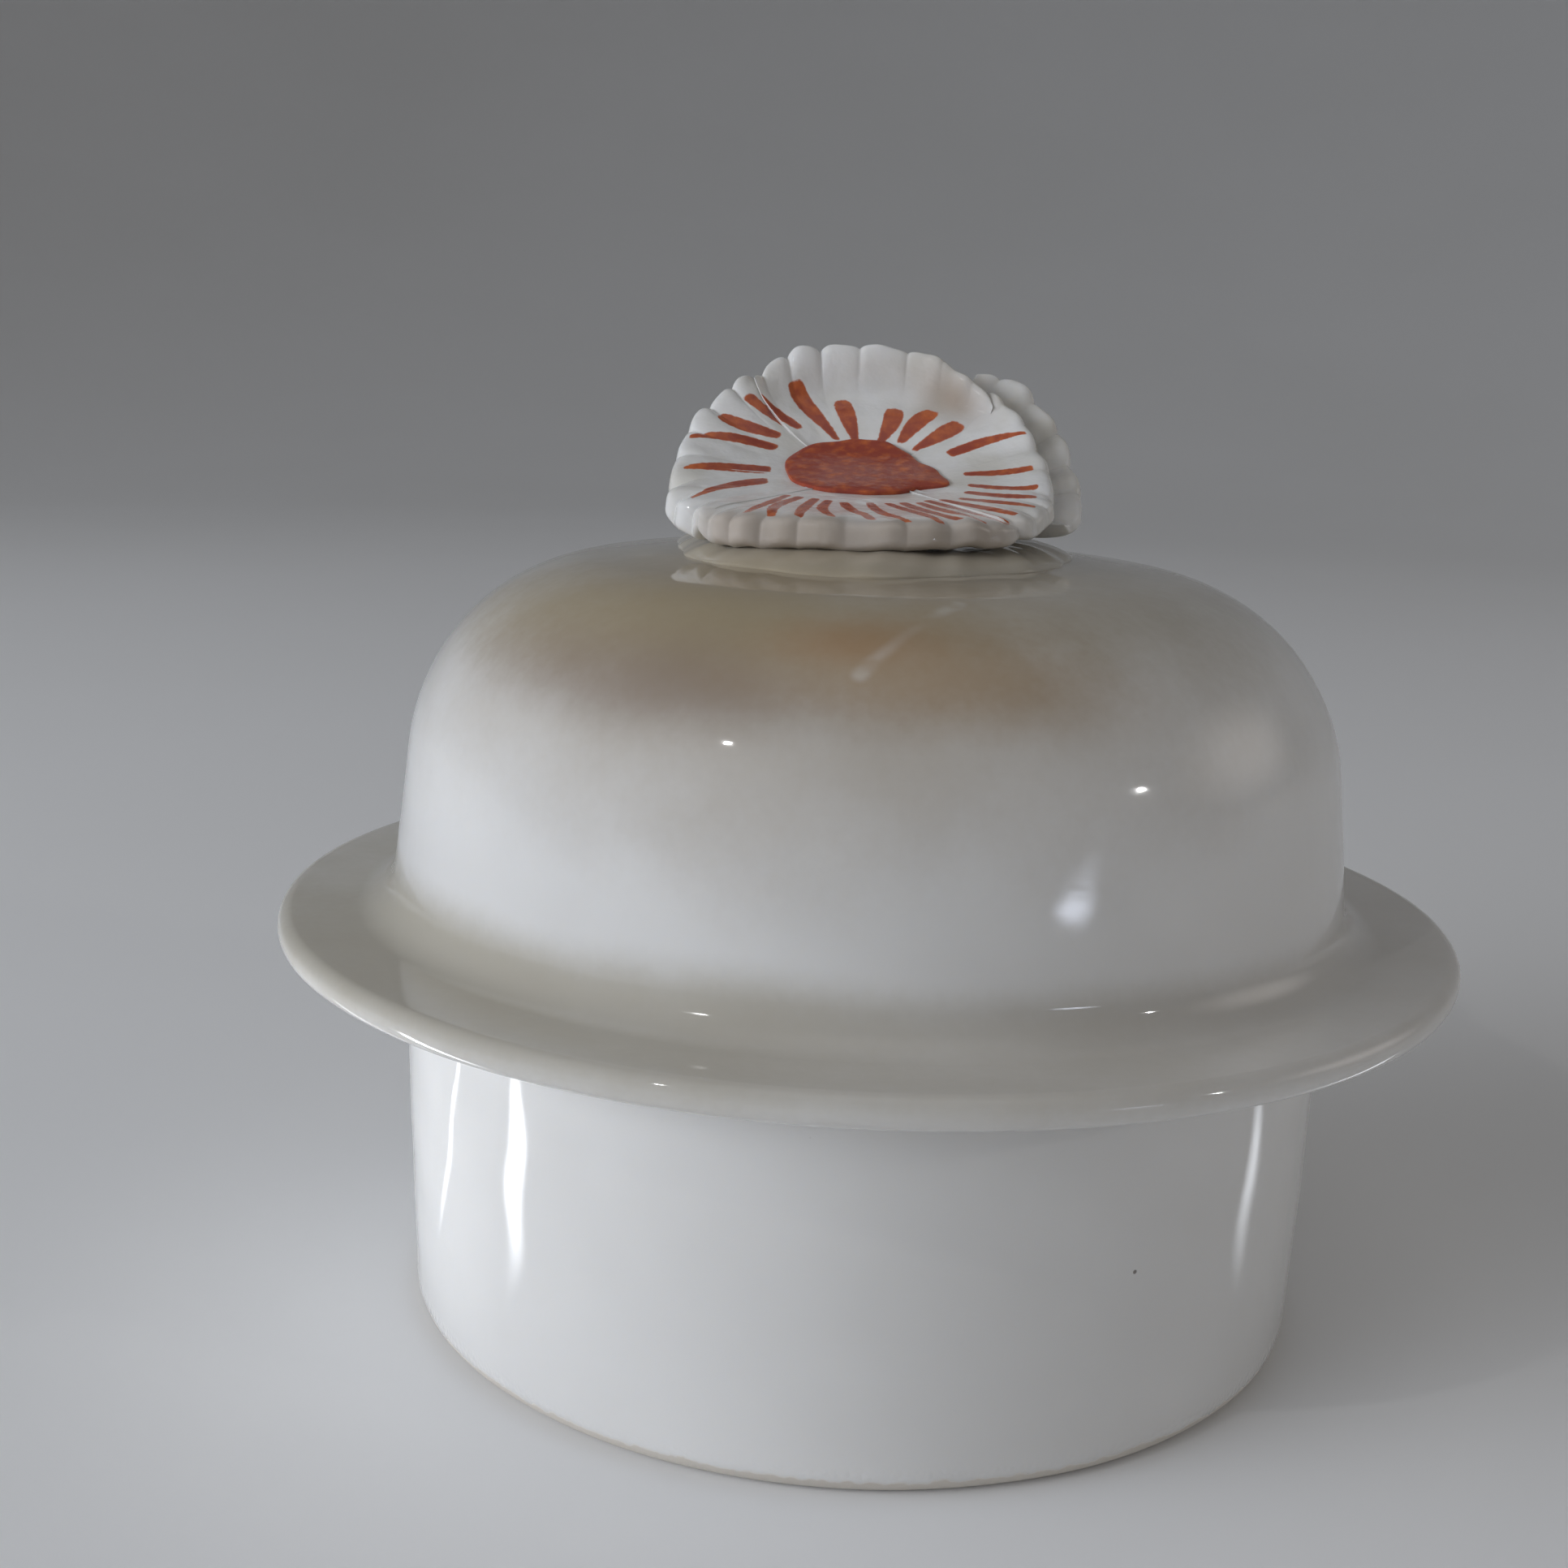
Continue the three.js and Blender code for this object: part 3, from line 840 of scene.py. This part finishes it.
def stain_and_painted_shade(n, base, place, height):
    """The glaze's colour with the stain's patches, the painted shade on the brim and crown, and one
    worn scratch laid over it.
    """
    x, y, _ = n.add("ShaderNodeSeparateXYZ", {"Vector": place}).outputs
    azimuth = n.math("DIVIDE", n.math("ARCTAN2", x, n.math("MULTIPLY", y, -1.0)),
                     math.radians(1))
    broad = n.math("MULTIPLY", n.math("SUBTRACT", n.noise(place, 90.0, 5.0), 0.5), 0.8)
    grain = n.math("MULTIPLY", n.math("SUBTRACT", n.noise(place, 1500.0, 3.0), 0.5), 0.14)
    wobble = n.math("ADD", broad, grain)
    # Painted shade: the first two patches darken the brim's top and the third darkens the crown with
    # an olive tone. The rest lay the real brown stain.
    for angle, level, wide, tall, strength, tint in STAIN_AND_SHADE:
        here = patch(n, azimuth, height, wobble, angle, level, wide, tall)
        base = n.mix(n.math("MULTIPLY", here, strength), base, colour(*tint))
    scratch = scuff(n, place, (-0.8, -27.0, 47.6), (4.6, -20.4, 50.8), 0.75)
    worn = n.step(n.noise(place, 450.0, 2.0), 0.25, 0.6)
    return n.mix(n.math("MULTIPLY", n.math("MULTIPLY", scratch, worn), 0.30), base, GLAZE_WHITE)


def iron_specks(n, base, place):
    """The colour with a few dark specks: the middles of some of the cells of a Voronoi pattern."""
    spots = n.add("ShaderNodeTexVoronoi", {"Vector": place, "Scale": 105.0})
    small = n.step(spots.outputs["Distance"], 0.010, 0.018, 1.0, 0.0)
    some = n.add("ShaderNodeSeparateColor", {"Color": spots.outputs["Color"]}).outputs["Red"]
    speck = n.math("MULTIPLY", small, n.math("GREATER_THAN", some, 0.72))
    return n.mix(n.math("MULTIPLY", speck, 0.8), base, colour(0.10, 0.07, 0.05))


def glaze_relief(n, place, height, bare):
    """Fine relief: orange peel, a slow ripple, grit on the bare foot and bubbles just above it."""
    peel = n.noise(place, 1100.0, 2.0)
    ripple = n.noise(place, 160.0, 1.0)
    grit = n.noise(place, 6000.0, 3.0)
    bubbles = n.add("ShaderNodeTexVoronoi", {"Vector": place, "Scale": 2600.0})
    edge = n.math("MULTIPLY", n.step(height, 0.8, 1.5), n.step(height, 1.5, 2.3, 1.0, 0.0))
    swell = n.math("MULTIPLY", n.math("SUBTRACT", 1.0, bubbles.outputs["Distance"]), edge)
    smooth_skin = n.math("ADD", n.math("MULTIPLY", peel, 0.012), n.math("MULTIPLY", ripple, 0.10))
    relief = n.math("ADD", smooth_skin, n.math("MULTIPLY", swell, 0.14))
    return n.math("ADD", relief, n.math("MULTIPLY", n.math("MULTIPLY", grit, bare), 0.10))


def white_glaze(name, stained_and_shaded):
    """Glazed porcelain: white body, glassy coat, specks, a bare foot and, on the lid, a stain and
    painted shade.
    """
    n = Nodes(name)
    place = n.add("ShaderNodeTexCoord").outputs["Object"]
    z = n.add("ShaderNodeSeparateXYZ", {"Vector": place}).outputs[2]
    height = n.math("DIVIDE", z, MM)
    cloud = n.noise(place, 40.0)
    base = n.mix(n.step(cloud, 0.35, 0.7), GLAZE_WHITE, GLAZE_GREY)
    # On the lid and pad: the brown stain, plus painted shade darkening the brim's top and the crown.
    if stained_and_shaded:
        base = stain_and_painted_shade(n, base, place, height)
    base = iron_specks(n, base, place)

    ragged = n.math("MULTIPLY", n.math("SUBTRACT", n.noise(place, 900.0), 0.5), 0.9)
    bare = n.step(n.math("ADD", height, ragged), 0.95, 1.2, 1.0, 0.0)
    base = n.mix(bare, base, FOOT_BARE)
    n.put(n.shader.inputs["Base Color"], base)

    relief = glaze_relief(n, place, height, bare)
    bump = n.add("ShaderNodeBump", {"Height": relief, "Distance": BUMP_DEPTH, "Strength": 0.6})
    n.put(n.shader.inputs["Normal"], bump.outputs["Normal"])
    used = n.step(n.noise(place, 300.0, 4.0), 0.45, 0.75, 0.05, 0.11)
    gloss = n.math("ADD", used, n.math("MULTIPLY", bare, 0.65))
    n.put(n.shader.inputs["Roughness"], gloss)
    n.shader.inputs["IOR"].default_value = GLASS_IOR
    n.shader.inputs["Subsurface Weight"].default_value = 0.25
    n.shader.inputs["Subsurface Radius"].default_value = (1.0, 0.9, 0.75)
    n.shader.inputs["Subsurface Scale"].default_value = 0.0015
    return n.material


jar_glaze = white_glaze("white_glaze_jar", stained_and_shaded=False)
lid_glaze = white_glaze("white_glaze_lid", stained_and_shaded=True)
jar.data.materials.append(jar_glaze)
lid.data.materials.append(lid_glaze)
collar.data.materials.append(jar_glaze)
print("white glazes:", jar_glaze.name, lid_glaze.name)

# %% [markdown]
# ### Flower glaze and iron red
#
# The flower's glaze is the same glass, slightly grey in soft clouds. Painted shade lays a warm
# grey-brown in the hollow under the back petal's lip and along the front rim, where the glaze also
# pools. The strokes are drawn from the distance kept on the mesh: paint where it is negative, with a
# noise that frays the edge. Thin paint is orange and thick paint is a deep red.

# %% Flower glaze
PAINT_DEEP = colour(0.31, 0.030, 0.005)
PAINT_THIN = colour(0.64, 0.135, 0.012)


def flower_glaze(name, painted, shine=0.4, thin_load=1.1):
    """Glossy, slightly translucent glaze, with iron-red strokes where painted.

    The load is noise plus a part that grows along the stroke. From 0.4 to thin_load the paint
    turns from deep red to orange.
    """
    n = Nodes(name)
    place = n.add("ShaderNodeTexCoord").outputs["Object"]
    cloud = n.noise(place, 220.0, 3.0)
    base = n.mix(n.step(cloud, 0.35, 0.8), colour(0.80, 0.785, 0.76), colour(0.66, 0.63, 0.57))
    # Painted shade, with glaze pooling: a warm grey-brown laid under the back petal's lip and along
    # the front rim.
    pooled_glaze_and_shade = n.add("ShaderNodeAttribute", attribute_name="pooled_glaze_and_shade").outputs["Fac"]
    base = n.mix(pooled_glaze_and_shade, base, colour(0.40, 0.32, 0.25))
    gloss = n.step(n.noise(place, 700.0), 0.3, 0.7, 0.06, 0.12)
    if painted:
        brush = n.add("ShaderNodeAttribute", attribute_name="brush").outputs["Fac"]
        along = n.add("ShaderNodeAttribute", attribute_name="along").outputs["Fac"]
        fray = n.math("MULTIPLY", n.math("SUBTRACT", n.noise(place, 2600.0, 3.0), 0.5), 0.2)
        paint = n.step(n.math("ADD", brush, fray), -0.06, 0.05, 1.0, 0.0)
        bristle = n.noise(place, 1300.0, 3.0)
        load = n.math("ADD", n.math("MULTIPLY", bristle, 0.9), n.math("MULTIPLY", along, 0.35))
        thin = n.step(load, 0.4, thin_load)
        rim_thin = n.step(brush, -0.22, 0.0)
        thin = n.math("MAXIMUM", thin, n.math("MULTIPLY", rim_thin, 0.55))
        red = n.mix(thin, PAINT_DEEP, PAINT_THIN)
        base = n.mix(n.math("MULTIPLY", paint, 0.95), base, red)
        gloss = n.math("ADD", gloss, n.math("MULTIPLY", paint, 0.05))
    n.put(n.shader.inputs["Base Color"], base)
    n.put(n.shader.inputs["Roughness"], gloss)
    relief = n.math("ADD", n.math("MULTIPLY", n.noise(place, 500.0, 3.0), 0.5),
                    n.math("MULTIPLY", n.noise(place, 1600.0, 2.0), 0.15))
    bump = n.add("ShaderNodeBump", {"Height": relief, "Distance": BUMP_DEPTH, "Strength": 0.55})
    n.put(n.shader.inputs["Normal"], bump.outputs["Normal"])
    n.shader.inputs["IOR"].default_value = GLASS_IOR
    n.shader.inputs["Specular IOR Level"].default_value = shine
    n.shader.inputs["Subsurface Weight"].default_value = 0.15 if painted else 0.3
    n.shader.inputs["Subsurface Radius"].default_value = (1.0, 0.85, 0.65)
    n.shader.inputs["Subsurface Scale"].default_value = 0.0008
    return n.material


painted_glaze = flower_glaze("flower_glaze_painted", painted=True)
plain_glaze = flower_glaze("flower_glaze_plain", painted=False)
enamel = flower_glaze("iron_red_enamel_thick", painted=True, shine=0.2, thin_load=0.85)
for piece in (front, right, back, left):
    piece.data.materials.append(painted_glaze)
for piece in (outer, core):
    piece.data.materials.append(plain_glaze)
eye.data.materials.append(enamel)
pad.data.materials.append(lid_glaze)
print("flower glazes:", painted_glaze.name, plain_glaze.name, enamel.name)

# %% [markdown]
# ## Floor
#
# A plain pale room: a flat floor that curves up into a round wall, so it looks the same from all
# sides. A flat plane would show its edge behind the jar from low down. The room is a turned
# outline, like the jar itself.

# %% Floor


def sweep(radius=1.9, bend=1.2, top=2.2):
    """Profile of a round room from its wall's top down a quarter circle to the floor's middle."""
    turn = np.linspace(np.pi / 2, 0, 40)
    r = np.concatenate([[radius], radius - bend + bend * np.sin(turn), [0.4, 0.0]])
    z = np.concatenate([[top], bend - bend * np.cos(turn), [0.0, 0.0]])
    return np.stack([r, z], -1) / MM


floor = surface("floor", turned(sweep(), columns=128, waver=0.0), poles=(False, True))
paper = Nodes("studio_paper")
paper_place = paper.add("ShaderNodeTexCoord").outputs["Object"]
paper_tone = paper.step(paper.noise(paper_place, 3.0), 0.3, 0.7)
paper_colour = paper.mix(paper_tone, colour(0.90, 0.895, 0.885), colour(0.93, 0.925, 0.92))
paper.put(paper.shader.inputs["Base Color"], paper_colour)
paper.shader.inputs["Roughness"].default_value = 0.8
floor.data.materials.append(paper.material)

# %% [markdown]
# ## Light
#
# The key is a long cool softbox from the left and low down, the fill is weak and warm, and a
# wide one hangs overhead. Porcelain is told from chalk by what it mirrors, so two small lamps,
# a little window and three narrow strips lying on the floor are there mostly for their
# reflections. The strips draw the upright streaks on the jar's wall, which mirrors what lies on
# the floor. The key is kept out of the reflections, where it would wash out the stain.

# %% Light helpers


def area_light(name, size, watts, tint):
    """A rectangular light, unseen by the camera itself but mirrored by the glaze."""
    data = bpy.data.lights.new(name, "AREA")
    data.shape = "RECTANGLE"
    data.size, data.size_y = size
    data.energy = watts
    data.color = tint
    made = bpy.data.objects.new(name, data)
    bpy.context.scene.collection.objects.link(made)
    made.visible_camera = False
    print(f"{name}: {watts} W")
    return made


def feather(light):
    """Makes a light fade from its middle to nothing at its edge, as a good softbox does.

    The glaze then mirrors a glow and not a panel. The strength is an S-curve of the distance
    from the middle of the light's own square.
    """
    light.data.use_nodes = True
    tree = light.data.node_tree
    square = tree.nodes.new("ShaderNodeNewGeometry").outputs["Parametric"]
    from_middle = tree.nodes.new("ShaderNodeVectorMath")
    from_middle.operation = "DISTANCE"
    from_middle.inputs[1].default_value = (0.5, 0.5, 0.0)
    fade = tree.nodes.new("ShaderNodeMapRange")
    fade.interpolation_type = "SMOOTHSTEP"
    fade.inputs["From Min"].default_value = 0.05
    fade.inputs["From Max"].default_value = 0.5
    fade.inputs["To Min"].default_value = 3.0
    fade.inputs["To Max"].default_value = 0.0
    tree.links.new(square, from_middle.inputs[0])
    tree.links.new(from_middle.outputs["Value"], fade.inputs["Value"])
    tree.links.new(fade.outputs["Result"], tree.nodes["Emission"].inputs["Strength"])


def lamp(name, azimuth, elevation, distance, size, watts, tint, aim=(0.0, 0.0, 0.03),
         feathered=False):
    """A light placed by its angles round the jar, a distance away, and turned to face the aim.

    Azimuth 0 is in front of the flower and 90 is to its right, elevation is above the floor.
    """
    a, e = math.radians(azimuth), math.radians(elevation)
    away = Vector((math.sin(a) * math.cos(e), -math.cos(a) * math.cos(e), math.sin(e)))
    made = area_light(name, size, watts, tint)
    made.location = Vector(aim) + away * distance
    made.rotation_euler = away.to_track_quat("Z", "Y").to_euler()
    if feathered:
        feather(made)
    return made


def strip(name, start, end, width, watts, tint):
    """A narrow light lying on the floor between two places in mm, shining straight up."""
    start, end = Vector(start) * MM, Vector(end) * MM
    way = end - start
    made = area_light(name, (way.length, width * MM), watts, tint)
    made.location = ((start.x + end.x) / 2, (start.y + end.y) / 2, 1.5 * MM)
    made.rotation_euler = (math.pi, 0.0, math.atan2(way.y, way.x))
    feather(made)
    return made


# %% Place the lights
key = lamp("key", -64, 17, 0.85, (1.50, 0.46), 2.7, (0.85, 0.905, 1.0), feathered=True)
key.visible_glossy = False
key.data.spread = math.radians(110)
lamp("fill", 100, 18, 1.00, (1.0, 0.7), 0.8, (1.0, 0.94, 0.90), feathered=True)
lamp("top", 20, 84, 1.30, (1.6, 1.6), 1.1, (1.0, 0.96, 0.91), feathered=True)
lamp("small_left", -40, 40, 0.60, (0.010, 0.010), 0.12, (1.0, 1.0, 1.0))
lamp("small_right", 66, 20, 0.60, (0.010, 0.010), 0.12, (1.0, 1.0, 1.0))
lamp("window", 45, -2, 0.25, (0.060, 0.016), 0.010, (0.78, 0.84, 1.0),
     aim=(0.0, 0.0, 0.036), feathered=True)
strip("strip_left", (-31, -23), (-86, -25), 6.5, 0.010, (0.90, 0.94, 1.0))
strip("strip_far_left", (-34, -8), (-84, 6), 2.5, 0.0010, (0.90, 0.94, 1.0))
strip("strip_right", (35, -15), (86, 8), 6.0, 0.0012, (0.90, 0.94, 1.0))

# %% World
world = bpy.data.worlds.new("studio")
world.use_nodes = True
world.node_tree.nodes["Background"].inputs["Color"].default_value = (0.82, 0.85, 0.90, 1.0)
world.node_tree.nodes["Background"].inputs["Strength"].default_value = 0.15
bpy.context.scene.world = world
bpy.context.scene.view_settings.view_transform = "Standard"

# %% [markdown]
# ## Camera
#
# Close to the jar and a little above it, looking past its left shoulder, with a slight roll. It is
# placed by two points and a roll, with no constraint that would have to be evaluated.

# %% Camera
CAMERA_ROLL = 2.14
camera_place = Vector((0.0, -0.1344, 0.0642))
camera_aim = Vector((-0.00593, 0.0, 0.03545))
camera_data = bpy.data.cameras.new("camera")
camera_data.lens = 45.43
camera_data.sensor_width = 36.0
camera_data.clip_start = 0.01
camera = bpy.data.objects.new("camera", camera_data)
bpy.context.scene.collection.objects.link(camera)
camera.location = camera_place
camera.rotation_mode = "QUATERNION"
look = (camera_aim - camera_place).to_track_quat("-Z", "Y")
camera.rotation_quaternion = look @ Quaternion((0, 0, 1), math.radians(CAMERA_ROLL))
bpy.context.scene.camera = camera
print(f"camera {camera_place.length / MM:.0f} mm from the foot's centre")
